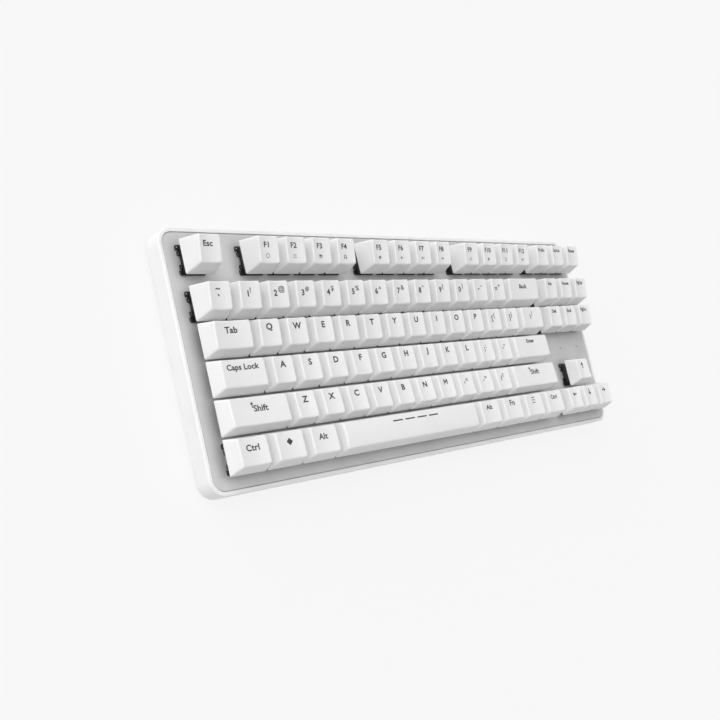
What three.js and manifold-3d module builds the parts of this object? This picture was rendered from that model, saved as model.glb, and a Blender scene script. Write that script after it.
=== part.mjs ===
// An 87-key mechanical keyboard without a number pad, with tall keycaps that float above a light plate.
// Millimetres, +X to the right, +Y to the back, +Z up. The origin is on the desk under the case's centre.
import * as THREE from "three";
import { mergeVertices } from "three/addons/utils/BufferGeometryUtils.js";
import Module from "manifold-3d";

const wasm = await Module();
wasm.setup();

// ---- Driving dimensions -------------------------------------------------------------------------------

const U = 19.05; // key pitch, the width and depth of a one-unit cell
const COLUMNS = 18.25; // width of the key field in units
const ROW_UNITS = 6.25; // depth of the key field in units
const CLEAR = 0.3; // gap kept between pieces that touch
const SINK = 0.4; // how far one shape reaches into the next where two are joined

const PLATE_MARGIN_X = 5.1; // plate showing left and right of the key field
const PLATE_MARGIN_Y = 5.5; // plate showing in front of and behind the key field
const RIM = 2.2; // width of the white rim, and the thickness of the case wall
const CASE_CORNER = 9; // outer radius of the case's upright corners
const ARC_STEPS = 5;

const PAD_HEIGHT = 1.2; // how far the rubber pads stand out of the underside
const CASE_LOW = PAD_HEIGHT;
const CASE_HIGH = 13; // top of the rim
const EDGE_CUT = 0.6; // chamfer round the rim and round the case's lower edge
const FLOOR_THICK = 2;

const PLATE_TOP = 12.7;
const PLATE_THICK = 1.5;
const CUTOUT = 14; // square hole in the plate for one switch
const LEDGE_WIDTH = 2; // shelf inside the case wall that carries the plate
const LEDGE_THICK = 2.2;
const BOARD_TOP = PLATE_TOP - 5; // a switch seats on its board 5 mm below the top of its plate
const BOARD_THICK = 1.6;
const BOARD_MARGIN = 3; // how far the board stays inside the plate's edge

const HOUSING_BODY = CUTOUT - 2 * CLEAR; // lower half of a switch, through the plate
const HOUSING_FLANGE = 15.6; // square foot of the upper half, which hides the cut-out
const HOUSING_CROWN = 11;
const HOUSING_HEIGHT = 6.6; // above the plate
const HOUSING_WELL = 7.4; // square opening that the stem works in
const WELL_DEPTH = 5.6;
const CARRIER_THICK = 0.5; // thin web at board level that joins the housings

const SKIRT_LOW = PLATE_TOP + 6.2; // lower edge of a keycap at rest
const CELL_GAP = 0.475; // from the cell's edge to the keycap's skirt
const TOP_SIDE = 3.25; // from the cell's edge to the keycap's top face, left and right
const TOP_FRONT = 3.2;
const TOP_BACK = 2.15;
const CAP_WALL = 1.3;
const CAP_ROOF = 1.6;
const STEM_RADIUS = 2.75;
const STEM_SIDES = 6;
const STEM_SINK = 0.5; // how far a stem's post reaches into the cap's roof
const LINK_HEIGHT = 0.8; // web between the skirts of keycaps that share a node
const LINK_DEPTH = 4;

// Rows from the front: the row's front edge in units, and the heights of a keycap's top above its skirt.
const ROWS = {
  bottom: { y: 0, front: 8.4, back: 7.9 },
  shift: { y: 1, front: 8.5, back: 7.6 },
  home: { y: 2, front: 7.8, back: 7.7 },
  tab: { y: 3, front: 8.8, back: 9.8 },
  digit: { y: 4, front: 10.4, back: 12.4 },
  function: { y: 5.25, front: 10.4, back: 12.6 },
};

// Stabiliser of the space bar: a steel wire that pivots on its long bar and lifts both ends of the cap.
const WIRE_RADIUS = 0.8;
const WIRE_PIVOT_Z = PLATE_TOP + WIRE_RADIUS + 0.2;
const WIRE_PIVOT_Y = U - 0.625; // from the front edge of the space bar's cell
const WIRE_SIDES = 8;
const SPACE_STABILISER = 50; // half the distance between the outer stems of the space bar
const SHORT_STABILISER = 11.94; // the same on Shift, Enter and Backspace
const STABILISED_FROM = 2; // keycaps this many units wide or more have outer stems
const LONG_FROM = 6;

const SOCKET_X = -100; // cable inlet, in the back wall
const SOCKET_Z = 6.5;
const SOCKET_WIDTH = 8.94;
const SOCKET_HEIGHT = 3.2;
const SOCKET_DEPTH = 7.3;
const SOCKET_WALL = 0.3;
const SOCKET_RECESS = 0.8; // how far the socket's mouth lies inside the back wall
const INLET_WIDTH = 13;
const INLET_HEIGHT = 6.6;
const TONGUE_WIDTH = 6.6; // contact tongue inside the socket
const TONGUE_THICK = 0.7;
const TONGUE_RECESS = 1; // from the socket's mouth to the tongue's tip

const FOOT_X = 132; // centre of each flip-out foot
const FOOT_PIVOT_Y = 52;
const FOOT_PIVOT_Z = 2.9;
const FOOT_WIDTH = 34;
const FOOT_LENGTH = 20; // from the pivot to the tip
const FOOT_THICK = 2.8;
const FOOT_NUB = 1.2; // stub axle at each end
const FOOT_AXLE_RADIUS = 0.98;
const FOOT_TIP_CUT = 1.2; // slope at the tip, for a fingernail
const POCKET_CLEAR = 0.6;
const POCKET_ROOF = 1;
const PIVOT_SIDES = 12;

const PAD_LENGTH = 26;
const PAD_DEPTH = 8;
const PAD_RECESS = 0.6;
const PAD_CUT = 0.5; // how much smaller the pad's lower face is, on each side
const PAD_X = 150;
const PAD_FRONT_Y = -56;
const PAD_REAR_Y = 60;

const BOSS_X = [-110, 0, 110]; // screw bosses between the cover and the board
const BOSS_Y = [-45, 20];
const BOSS_RADIUS = 3;
const SCREW_RADIUS = 1.4;
const SCREW_HEAD_RADIUS = 2.6;
const SCREW_HEAD_DEPTH = 1.2;
const BOSS_SIDES = 10;

// ---- Derived sizes ------------------------------------------------------------------------------------

const FIELD_LEFT = (-COLUMNS * U) / 2;
const FIELD_FRONT = (-ROW_UNITS * U) / 2;
const CASE_WIDTH = COLUMNS * U + 2 * (PLATE_MARGIN_X + RIM);
const CASE_DEPTH = ROW_UNITS * U + 2 * (PLATE_MARGIN_Y + RIM);
const PLATE_LOW = PLATE_TOP - PLATE_THICK;
const BOARD_LOW = BOARD_TOP - BOARD_THICK;
const LEDGE_TOP = PLATE_LOW - CLEAR;
const FLOOR_TOP = CASE_LOW + FLOOR_THICK;

// ---- Materials ----------------------------------------------------------------------------------------

function material(color, roughness, metalness) {
  return new THREE.MeshStandardMaterial({ color, roughness, metalness });
}

const capWhite = () => material(0xeeeeec, 0.5, 0);
const caseWhite = () => material(0xf2f2f0, 0.4, 0);
const plateGrey = () => material(0xc4c4c2, 0.55, 0.3);
const boardGreen = () => material(0x1f4a36, 0.5, 0);
const housingBlack = () => material(0x17181a, 0.4, 0);
const steel = () => material(0xb9bbbd, 0.3, 1);
const rubber = () => material(0x8d8d8b, 0.9, 0);

// ---- Solid helpers ------------------------------------------------------------------------------------

// A closed three.js geometry as a manifold-3d solid.
function solid(geometry) {
  const bare = geometry.clone();
  bare.deleteAttribute("normal");
  bare.deleteAttribute("uv");
  bare.clearGroups();
  const merged = mergeVertices(bare, 1e-4);
  const vertProperties = new Float32Array(merged.getAttribute("position").array);
  const triVerts = new Uint32Array(merged.index.array);
  return new wasm.Manifold(new wasm.Mesh({ numProp: 3, vertProperties, triVerts }));
}

function join(solids) {
  return solids.reduce((sum, piece) => sum.add(piece));
}

function mesh(name, shape, look) {
  const data = shape.getMesh();
  const geometry = new THREE.BufferGeometry();
  geometry.setAttribute("position", new THREE.BufferAttribute(data.vertProperties, 3));
  geometry.setIndex(new THREE.BufferAttribute(data.triVerts, 1));
  geometry.computeVertexNormals();
  const made = new THREE.Mesh(geometry, look);
  made.name = name;
  return made;
}

// A box between two corners.
function box(low, high) {
  const size = high.map((value, i) => value - low[i]);
  const geometry = new THREE.BoxGeometry(...size);
  geometry.translate(low[0] + size[0] / 2, low[1] + size[1] / 2, low[2] + size[2] / 2);
  return solid(geometry);
}

// An upright prism from z = low to z = high.
function post(x, y, low, high, radius, sides) {
  const geometry = new THREE.CylinderGeometry(radius, radius, high - low, sides);
  geometry.rotateX(Math.PI / 2);
  geometry.translate(x, y, (low + high) / 2);
  return solid(geometry);
}

// A rod from point a to point b.
function rod(a, b, radius, sides) {
  const start = new THREE.Vector3(...a);
  const along = new THREE.Vector3(...b).sub(start);
  const geometry = new THREE.CylinderGeometry(radius, radius, along.length(), sides);
  const turn = new THREE.Quaternion().setFromUnitVectors(
    new THREE.Vector3(0, 1, 0),
    along.clone().normalize(),
  );
  geometry.applyQuaternion(turn);
  geometry.translate(...start.addScaledVector(along, 0.5).toArray());
  return solid(geometry);
}

// A rectangle with round corners, centred on the origin.
function roundedRectangle(width, depth, radius) {
  const x = width / 2;
  const y = depth / 2;
  const shape = new THREE.Shape();
  shape.absarc(x - radius, y - radius, radius, 0, Math.PI / 2);
  shape.absarc(radius - x, y - radius, radius, Math.PI / 2, Math.PI);
  shape.absarc(radius - x, radius - y, radius, Math.PI, 1.5 * Math.PI);
  shape.absarc(x - radius, radius - y, radius, 1.5 * Math.PI, 2 * Math.PI);
  shape.closePath();
  return shape;
}

// A rounded slab, with a chamfer of the given size round both faces.
function slab(width, depth, radius, low, high, chamfer = 0) {
  const outline = roundedRectangle(width - 2 * chamfer, depth - 2 * chamfer, radius - chamfer);
  const geometry = new THREE.ExtrudeGeometry(outline, {
    depth: high - low - 2 * chamfer,
    curveSegments: ARC_STEPS,
    bevelEnabled: chamfer > 0,
    bevelThickness: chamfer,
    bevelSize: chamfer,
    bevelSegments: 1,
  });
  geometry.translate(0, 0, low + chamfer);
  return solid(geometry);
}

// A block whose top may be smaller than its foot and may slope from front to back.
function taperedBlock(foot, top) {
  const geometry = new THREE.BoxGeometry(1, 1, 1);
  const place = geometry.getAttribute("position");
  for (let i = 0; i < place.count; i += 1) {
    const end = place.getZ(i) > 0 ? top : foot;
    const x = place.getX(i) > 0 ? end.right : end.left;
    const y = place.getY(i) > 0 ? end.back : end.front;
    const z = place.getY(i) > 0 ? end.backZ : end.frontZ;
    place.setXYZ(i, x, y, z);
  }
  return solid(geometry);
}

// A ring for taperedBlock: its edges, and the heights of its front and back edges.
function ring(left, right, front, back, frontZ, backZ = frontZ) {
  return { left, right, front, back, frontZ, backZ };
}

// ---- Key layout ---------------------------------------------------------------------------------------

// A run of neighbouring keys in one row, from x units, with the width of each key in units.
function run(row, x, widths) {
  let left = x;
  return widths.map((width) => {
    const key = { row: ROWS[row], x: left, width };
    left += width;
    return key;
  });
}

const ones = (count) => Array(count).fill(1);

const letters = (row, x, names) =>
  [...names].map((letter, i) => ["key_" + letter, run(row, x + i, [1])]);

const KEY_NODES = [
  ["key_escape", run("function", 0, [1])],
  ["keys_f1_f4", run("function", 2, ones(4))],
  ["keys_f5_f8", run("function", 6.5, ones(4))],
  ["keys_f9_f12", run("function", 11, ones(4))],
  ["keys_print_pause", run("function", 15.25, ones(3))],
  ["keys_grave_5", run("digit", 0, ones(6))],
  ["keys_6_equals", run("digit", 6, ones(7))],
  ["key_backspace", run("digit", 13, [2])],
  ["keys_navigation", [...run("digit", 15.25, ones(3)), ...run("tab", 15.25, ones(3))]],
  ["key_tab", run("tab", 0, [1.5])],
  ...letters("tab", 1.5, "qwertyuiop"),
  ["keys_brackets", run("tab", 11.5, [1, 1, 1.5])],
  ["key_caps_lock", run("home", 0, [1.75])],
  ...letters("home", 1.75, "asdfghjkl"),
  ["keys_semicolon_quote", run("home", 10.75, ones(2))],
  ["key_enter", run("home", 12.75, [2.25])],
  ["key_shift_left", run("shift", 0, [2.25])],
  ...letters("shift", 2.25, "zxcvbnm"),
  ["keys_comma_slash", run("shift", 9.25, ones(3))],
  ["key_shift_right", run("shift", 12.25, [2.75])],
  ["keys_modifiers_left", run("bottom", 0, [1.25, 1.25, 1.25])],
  ["key_space", run("bottom", 3.75, [6.25])],
  ["keys_modifiers_right", run("bottom", 10, [1.25, 1.25, 1.25, 1.25])],
  ["keys_arrows", [...run("shift", 16.25, [1]), ...run("bottom", 15.25, ones(3))]],
];

const ALL_KEYS = KEY_NODES.flatMap(([, keys]) => keys);

const keyLeft = (key) => FIELD_LEFT + key.x * U;
const keyFront = (key) => FIELD_FRONT + key.row.y * U;
const keyCentre = (key) => [keyLeft(key) + (key.width * U) / 2, keyFront(key) + U / 2];

// ---- Keycaps ------------------------------------------------------------------------------------------

function keycap(key) {
  const left = keyLeft(key);
  const right = left + key.width * U;
  const front = keyFront(key);
  const back = front + U;
  const { front: frontHeight, back: backHeight } = key.row;
  const outer = taperedBlock(
    ring(left + CELL_GAP, right - CELL_GAP, front + CELL_GAP, back - CELL_GAP, SKIRT_LOW),
    ring(
      left + TOP_SIDE,
      right - TOP_SIDE,
      front + TOP_FRONT,
      back - TOP_BACK,
      SKIRT_LOW + frontHeight,
      SKIRT_LOW + backHeight,
    ),
  );
  const inset = CELL_GAP + CAP_WALL;
  const hollow = taperedBlock(
    ring(left + inset, right - inset, front + inset, back - inset, SKIRT_LOW - SINK),
    ring(
      left + TOP_SIDE + CAP_WALL,
      right - TOP_SIDE - CAP_WALL,
      front + TOP_FRONT + CAP_WALL,
      back - TOP_BACK - CAP_WALL,
      SKIRT_LOW + frontHeight - CAP_ROOF,
      SKIRT_LOW + backHeight - CAP_ROOF,
    ),
  );
  const [x, y] = keyCentre(key);
  const roof = SKIRT_LOW + (frontHeight + backHeight) / 2 - CAP_ROOF;
  const reach = key.width > LONG_FROM ? SPACE_STABILISER : SHORT_STABILISER;
  const stems = key.width < STABILISED_FROM ? [x] : [x - reach, x, x + reach];
  return stems.reduce(
    (cap, stem) =>
      cap.add(post(stem, y, SKIRT_LOW + CLEAR, roof + STEM_SINK, STEM_RADIUS, STEM_SIDES)),
    outer.subtract(hollow),
  );
}

// The web between two caps that share a node, across the gap between their skirts.
function link(a, b) {
  const reach = CELL_GAP + CAP_WALL / 2;
  const [ax, ay] = keyCentre(a);
  if (a.row === b.row) {
    const x = keyLeft(b);
    return box(
      [x - reach, ay - LINK_DEPTH / 2, SKIRT_LOW],
      [x + reach, ay + LINK_DEPTH / 2, SKIRT_LOW + LINK_HEIGHT],
    );
  }
  const y = Math.max(keyFront(a), keyFront(b));
  return box(
    [ax - LINK_DEPTH / 2, y - reach, SKIRT_LOW],
    [ax + LINK_DEPTH / 2, y + reach, SKIRT_LOW + LINK_HEIGHT],
  );
}

// Keys that touch side by side in a row, or one in front of the other, are linked.
function links(keys) {
  const found = [];
  keys.forEach((a, i) => {
    keys.slice(i + 1).forEach((b) => {
      const beside = a.row === b.row && Math.abs(a.x + a.width - b.x) < 1e-6;
      const behind = Math.abs(a.row.y - b.row.y) === 1 && a.x === b.x;
      if (beside || behind) found.push(link(a, b));
    });
  });
  return found;
}

function keyNodes() {
  return KEY_NODES.map(([name, keys]) =>
    mesh(name, join([...keys.map(keycap), ...links(keys)]), capWhite()),
  );
}

// ---- Case ---------------------------------------------------------------------------------------------

// The outer wall with its rim, the ledge that carries the plate, and the cable inlet at the back.
function caseFrame() {
  const outer = slab(CASE_WIDTH, CASE_DEPTH, CASE_CORNER, CASE_LOW, CASE_HIGH, EDGE_CUT);
  const through = (inset, low, high) =>
    slab(CASE_WIDTH - 2 * inset, CASE_DEPTH - 2 * inset, CASE_CORNER - inset, low, high);
  const shelf = RIM + LEDGE_WIDTH;
  const back = CASE_DEPTH / 2;
  const inlet = box(
    [SOCKET_X - INLET_WIDTH / 2, back - 2 * shelf, SOCKET_Z - INLET_HEIGHT / 2],
    [SOCKET_X + INLET_WIDTH / 2, back + SINK, SOCKET_Z + INLET_HEIGHT / 2],
  );
  return outer
    .subtract(through(RIM, LEDGE_TOP, CASE_HIGH + SINK))
    .subtract(through(shelf, LEDGE_TOP - LEDGE_THICK - SINK, LEDGE_TOP + SINK))
    .subtract(through(RIM, CASE_LOW - SINK, LEDGE_TOP - LEDGE_THICK))
    .subtract(inlet);
}

const FEET = [-FOOT_X, FOOT_X];
const PADS = [
  ["pad_front_left", -PAD_X, PAD_FRONT_Y],
  ["pad_front_right", PAD_X, PAD_FRONT_Y],
  ["pad_rear_left", -PAD_X, PAD_REAR_Y],
  ["pad_rear_right", PAD_X, PAD_REAR_Y],
];

// The floor of the case, with bosses under the board, a pocket for each foot and a recess for each pad.
function bottomCover() {
  const inset = RIM + CLEAR;
  let cover = slab(
    CASE_WIDTH - 2 * inset,
    CASE_DEPTH - 2 * inset,
    CASE_CORNER - inset,
    CASE_LOW,
    FLOOR_TOP,
  );
  const bossTop = BOARD_LOW - CLEAR;
  const below = CASE_LOW - SINK;
  const headTop = CASE_LOW + SCREW_HEAD_DEPTH;
  for (const x of BOSS_X) {
    for (const y of BOSS_Y) {
      cover = cover
        .add(post(x, y, FLOOR_TOP - SINK, bossTop, BOSS_RADIUS, BOSS_SIDES))
        .subtract(post(x, y, below, headTop, SCREW_HEAD_RADIUS, BOSS_SIDES))
        .subtract(post(x, y, below, bossTop + SINK, SCREW_RADIUS, BOSS_SIDES));
    }
  }
  const halfWidth = FOOT_WIDTH / 2 + FOOT_NUB + CLEAR;
  const front = FOOT_PIVOT_Y - FOOT_LENGTH - POCKET_CLEAR;
  const back = FOOT_PIVOT_Y + FOOT_THICK / 2 + POCKET_CLEAR;
  const roof = FOOT_PIVOT_Z + FOOT_THICK / 2 + CLEAR;
  for (const x of FEET) {
    const wall = POCKET_ROOF;
    cover = cover
      .add(
        box(
          [x - halfWidth - wall, front - wall, FLOOR_TOP - SINK],
          [x + halfWidth + wall, back + wall, roof + wall],
        ),
      )
      .subtract(box([x - halfWidth, front, CASE_LOW - SINK], [x + halfWidth, back, roof]));
  }
  const halfLength = PAD_LENGTH / 2 + CLEAR;
  const halfDepth = PAD_DEPTH / 2 + CLEAR;
  for (const [, x, y] of PADS) {
    cover = cover.subtract(
      box(
        [x - halfLength, y - halfDepth, CASE_LOW - SINK],
        [x + halfLength, y + halfDepth, CASE_LOW + PAD_RECESS],
      ),
    );
  }
  return cover;
}

// One rubber pad, in its recess and standing on the desk.
function pad(x, y) {
  const length = PAD_LENGTH / 2;
  const depth = PAD_DEPTH / 2;
  const top = CASE_LOW + PAD_RECESS - CLEAR;
  return taperedBlock(
    ring(
      x - length + PAD_CUT,
      x + length - PAD_CUT,
      y - depth + PAD_CUT,
      y + depth - PAD_CUT,
      0,
    ),
    ring(x - length, x + length, y - depth, y + depth, top),
  );
}

// A flip-out foot, folded flat into its pocket: a leg with a round pivot end and two stub axles.
function flipFoot(x) {
  const radius = FOOT_THICK / 2;
  const side = new THREE.Shape();
  side.absarc(0, 0, radius, -Math.PI / 2, Math.PI / 2);
  side.lineTo(-FOOT_LENGTH, radius);
  side.lineTo(-FOOT_LENGTH, 0);
  side.lineTo(FOOT_TIP_CUT - FOOT_LENGTH, -radius);
  side.closePath();
  const geometry = new THREE.ExtrudeGeometry(side, {
    depth: FOOT_WIDTH,
    curveSegments: 6,
    bevelEnabled: false,
  });
  // The outline's x becomes Y and its y becomes Z, so the extrusion runs along X.
  geometry.applyMatrix4(
    new THREE.Matrix4().makeBasis(
      new THREE.Vector3(0, 1, 0),
      new THREE.Vector3(0, 0, 1),
      new THREE.Vector3(1, 0, 0),
    ),
  );
  geometry.translate(x - FOOT_WIDTH / 2, FOOT_PIVOT_Y, FOOT_PIVOT_Z);
  const reach = FOOT_WIDTH / 2 + FOOT_NUB;
  const axle = rod(
    [x - reach, FOOT_PIVOT_Y, FOOT_PIVOT_Z],
    [x + reach, FOOT_PIVOT_Y, FOOT_PIVOT_Z],
    FOOT_AXLE_RADIUS,
    PIVOT_SIDES,
  );
  return solid(geometry).add(axle);
}

// ---- Plate, board and switches ------------------------------------------------------------------------

function switchPlate() {
  const inset = RIM + CLEAR;
  const blank = slab(
    CASE_WIDTH - 2 * inset,
    CASE_DEPTH - 2 * inset,
    CASE_CORNER - inset,
    PLATE_LOW,
    PLATE_TOP,
  );
  const half = CUTOUT / 2;
  const holes = ALL_KEYS.map((key) => {
    const [x, y] = keyCentre(key);
    return box([x - half, y - half, PLATE_LOW - SINK], [x + half, y + half, PLATE_TOP + SINK]);
  });
  return blank.subtract(join(holes));
}

function circuitBoard() {
  const inset = RIM + LEDGE_WIDTH + BOARD_MARGIN;
  const half = SOCKET_WIDTH / 2 + CLEAR;
  const back = CASE_DEPTH / 2;
  const notch = box(
    [SOCKET_X - half, back - SOCKET_RECESS - SOCKET_DEPTH - CLEAR, BOARD_LOW - SINK],
    [SOCKET_X + half, back, BOARD_TOP + SINK],
  );
  return slab(
    CASE_WIDTH - 2 * inset,
    CASE_DEPTH - 2 * inset,
    CASE_CORNER - RIM,
    BOARD_LOW,
    BOARD_TOP,
  ).subtract(notch);
}

// One switch housing: a square body through the plate and a tapered top with the stem's well.
function housing(key) {
  const [x, y] = keyCentre(key);
  const low = BOARD_TOP + CLEAR;
  const square = (size, z) => ring(x - size / 2, x + size / 2, y - size / 2, y + size / 2, z);
  const foot = PLATE_TOP + CLEAR;
  const top = PLATE_TOP + HOUSING_HEIGHT;
  return join([
    taperedBlock(square(HOUSING_BODY, low), square(HOUSING_BODY, foot + SINK)),
    taperedBlock(square(HOUSING_FLANGE, foot), square(HOUSING_CROWN, top)),
  ]).subtract(
    taperedBlock(square(HOUSING_WELL, top - WELL_DEPTH), square(HOUSING_WELL, top + SINK)),
  );
}

function switchBank() {
  const low = BOARD_TOP + CLEAR;
  const edge = (U - HOUSING_BODY) / 2;
  const carrier = box(
    [FIELD_LEFT + edge, FIELD_FRONT + edge, low],
    [-FIELD_LEFT - edge, -FIELD_FRONT - edge, low + CARRIER_THICK],
  );
  return join([carrier, ...ALL_KEYS.map(housing)]);
}

// The space bar's stabiliser wire: the pivot bar on the plate, and an arm up to each outer stem.
function spaceWire() {
  const [key] = run("bottom", 3.75, [6.25]);
  const [x, centreY] = keyCentre(key);
  const pivotY = keyFront(key) + WIRE_PIVOT_Y;
  const tipZ = SKIRT_LOW - WIRE_RADIUS - CLEAR / 2;
  const left = x - SPACE_STABILISER;
  const right = x + SPACE_STABILISER;
  const arm = (end) =>
    rod([end, pivotY, WIRE_PIVOT_Z], [end, centreY, tipZ], WIRE_RADIUS, WIRE_SIDES);
  const bar = rod(
    [left - WIRE_RADIUS, pivotY, WIRE_PIVOT_Z],
    [right + WIRE_RADIUS, pivotY, WIRE_PIVOT_Z],
    WIRE_RADIUS,
    WIRE_SIDES,
  );
  return join([bar, arm(left), arm(right)]);
}

// ---- Cable inlet --------------------------------------------------------------------------------------

// The socket's metal shell is a flat tube, open to the back, closed inside by its tongue block.
function usbSocket() {
  const shell = (grow, depth) => {
    const height = SOCKET_HEIGHT + grow;
    const geometry = new THREE.ExtrudeGeometry(
      roundedRectangle(SOCKET_WIDTH + grow, height, height / 2 - 0.01),
      { depth, curveSegments: 4, bevelEnabled: false },
    );
    geometry.rotateX(Math.PI / 2);
    return geometry;
  };
  const mouth = CASE_DEPTH / 2 - SOCKET_RECESS;
  const outer = shell(0, SOCKET_DEPTH);
  outer.translate(SOCKET_X, mouth, SOCKET_Z);
  const bore = shell(-2 * SOCKET_WALL, SOCKET_DEPTH - 1);
  bore.translate(SOCKET_X, mouth + SINK, SOCKET_Z);
  const tongue = box(
    [SOCKET_X - TONGUE_WIDTH / 2, mouth - SOCKET_DEPTH + SINK, SOCKET_Z - TONGUE_THICK / 2],
    [SOCKET_X + TONGUE_WIDTH / 2, mouth - TONGUE_RECESS, SOCKET_Z + TONGUE_THICK / 2],
  );
  return solid(outer).subtract(solid(bore)).add(tongue);
}

// ---- Assembly -----------------------------------------------------------------------------------------

const keyboard = new THREE.Group();
keyboard.add(
  mesh("case_frame", caseFrame(), caseWhite()),
  mesh("bottom_cover", bottomCover(), caseWhite()),
  mesh("switch_plate", switchPlate(), plateGrey()),
  mesh("circuit_board", circuitBoard(), boardGreen()),
  mesh("switch_bank", switchBank(), housingBlack()),
  mesh("usb_socket", usbSocket(), steel()),
  mesh("space_bar_wire", spaceWire(), steel()),
  mesh("flip_foot_left", flipFoot(FEET[0]), caseWhite()),
  mesh("flip_foot_right", flipFoot(FEET[1]), caseWhite()),
  ...PADS.map(([name, x, y]) => mesh(name, pad(x, y), rubber())),
  ...keyNodes(),
);

export default keyboard;
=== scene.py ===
"""Looks of the 87-key mechanical keyboard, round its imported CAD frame.

Lengths are millimetres, and become metres when a mesh is made. Most dimensions repeat the part's own.
+X is to the right, +Y to the back, +Z up, and the origin is on the desk under the case's centre.
"""

import math

import bmesh
import bpy
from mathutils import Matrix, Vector, geometry


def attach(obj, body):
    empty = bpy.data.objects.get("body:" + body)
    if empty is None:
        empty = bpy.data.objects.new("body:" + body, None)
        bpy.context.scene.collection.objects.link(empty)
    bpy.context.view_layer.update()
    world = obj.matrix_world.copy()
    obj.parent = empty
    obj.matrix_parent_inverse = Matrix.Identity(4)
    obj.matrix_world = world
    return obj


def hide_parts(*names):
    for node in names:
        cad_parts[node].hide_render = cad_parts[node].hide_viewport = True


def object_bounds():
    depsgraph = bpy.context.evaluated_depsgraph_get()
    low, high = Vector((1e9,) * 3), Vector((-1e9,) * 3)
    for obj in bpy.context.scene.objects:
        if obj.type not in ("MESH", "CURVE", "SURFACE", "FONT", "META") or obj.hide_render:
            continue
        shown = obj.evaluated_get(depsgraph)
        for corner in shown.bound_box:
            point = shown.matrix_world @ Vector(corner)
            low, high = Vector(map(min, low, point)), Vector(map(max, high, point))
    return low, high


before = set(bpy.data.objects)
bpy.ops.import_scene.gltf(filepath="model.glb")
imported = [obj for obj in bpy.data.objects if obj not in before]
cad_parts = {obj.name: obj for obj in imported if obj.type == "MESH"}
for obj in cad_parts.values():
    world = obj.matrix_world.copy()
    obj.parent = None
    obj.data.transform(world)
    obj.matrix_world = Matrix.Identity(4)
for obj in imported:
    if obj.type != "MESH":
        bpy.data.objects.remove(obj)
cad_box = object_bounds()

MM = 0.001
U = 19.05  # key pitch
COLUMNS = 18.25  # width of the key field in units
ROW_UNITS = 6.25  # depth of the key field in units
CLEAR = 0.3  # gap between pieces that touch

FIELD_LEFT = -COLUMNS * U / 2
FIELD_FRONT = -ROW_UNITS * U / 2

PLATE_MARGIN_X = 5.1  # plate showing left and right of the key field
PLATE_MARGIN_Y = 5.5  # plate showing in front of and behind it
RIM = 2.2
CASE_CORNER = 9.0
CASE_WIDTH = COLUMNS * U + 2 * (PLATE_MARGIN_X + RIM)
CASE_DEPTH = ROW_UNITS * U + 2 * (PLATE_MARGIN_Y + RIM)
CASE_LOW = 1.2
CASE_HIGH = 13.0
PLATE_TOP = 12.7
PLATE_LOW = PLATE_TOP - 1.5
BOARD_TOP = PLATE_TOP - 5.0
LEDGE_WIDTH = 2.0  # shelf inside the case wall that carries the plate
LEDGE_TOP = PLATE_LOW - CLEAR
LEDGE_LOW = LEDGE_TOP - 2.2

SKIRT_LOW = PLATE_TOP + 6.2  # lower edge of a keycap at rest
CELL_GAP = 0.475  # from the cell's edge to the keycap's skirt
TOP_SIDE = 2.9  # from the cell's edge to the keycap's top face
TOP_FRONT = 3.2
TOP_BACK = 1.95
CAP_WALL = 1.3
CAP_ROOF = 1.6
DISH = 0.75  # depth of the cylindrical hollow in a keycap's top
CROWN = 0.45  # height of the space bar's crown

SPACE_LEFT = 3.75  # left edge and width of the space bar in units
SPACE_UNITS = 6.25
STABILISED = 2  # a keycap at least this wide, in units, has three stems
SPACE_STABILISER = 50.0  # from the middle stem to the outer ones
SHORT_STABILISER = 11.94

# Row: front edge in units, and the heights of a keycap's front and back top edges above its skirt.
ROWS = {
    "bottom": (0, 8.8, 8.3),
    "shift": (1, 8.9, 8.0),
    "home": (2, 8.2, 8.1),
    "tab": (3, 8.8, 9.8),
    "digit": (4, 10.4, 12.4),
    "function": (5.25, 10.4, 12.6),
}

# ---- Camera, light and floor --------------------------------------------------------------------------

CAMERA_PLACE = (-0.48656, -0.08393, 0.40363)
CAMERA_TURN = (20.9258, -44.1940, -18.5840)  # degrees
CAMERA_LENS = 52.186
CAMERA_SENSOR = 36

# Each soft sun: its name, the direction that its light comes from, and its strength.
SUNS = [
    ("key_light", (-0.6, 0.6, 0.5), 1.9),
    ("top_light", (0, 0, 1), 1.33),
    ("rear_light", (0, 1, 0.25), 0.25),
    ("side_light", (-1, 0, 0.25), 0.34),
    ("front_light", (0, -0.75, 0.66), 0.2),
]
SUN_ANGLE = 60  # degrees
WORLD_GLOW = 0.18
PAPER_GLOW = 0.815
BACKDROP_GLOW = PAPER_GLOW + 0.1
PAPER_GREY = 0.12
FLOOR_REACH = 6  # metres


def camera():
    data = bpy.data.cameras.new("camera")
    data.sensor_width = CAMERA_SENSOR
    data.lens = CAMERA_LENS
    data.clip_start = 0.01
    data.clip_end = 100
    holder = bpy.data.objects.new("camera", data)
    holder.location = CAMERA_PLACE
    holder.rotation_euler = [math.radians(a) for a in CAMERA_TURN]
    bpy.context.scene.collection.objects.link(holder)
    bpy.context.scene.camera = holder


def sun(name, towards, strength):
    data = bpy.data.lights.new(name, "SUN")
    data.energy = strength
    data.angle = math.radians(SUN_ANGLE)
    holder = bpy.data.objects.new(name, data)
    holder.rotation_euler = Vector(towards).to_track_quat("Z", "Y").to_euler()
    bpy.context.scene.collection.objects.link(holder)


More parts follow.
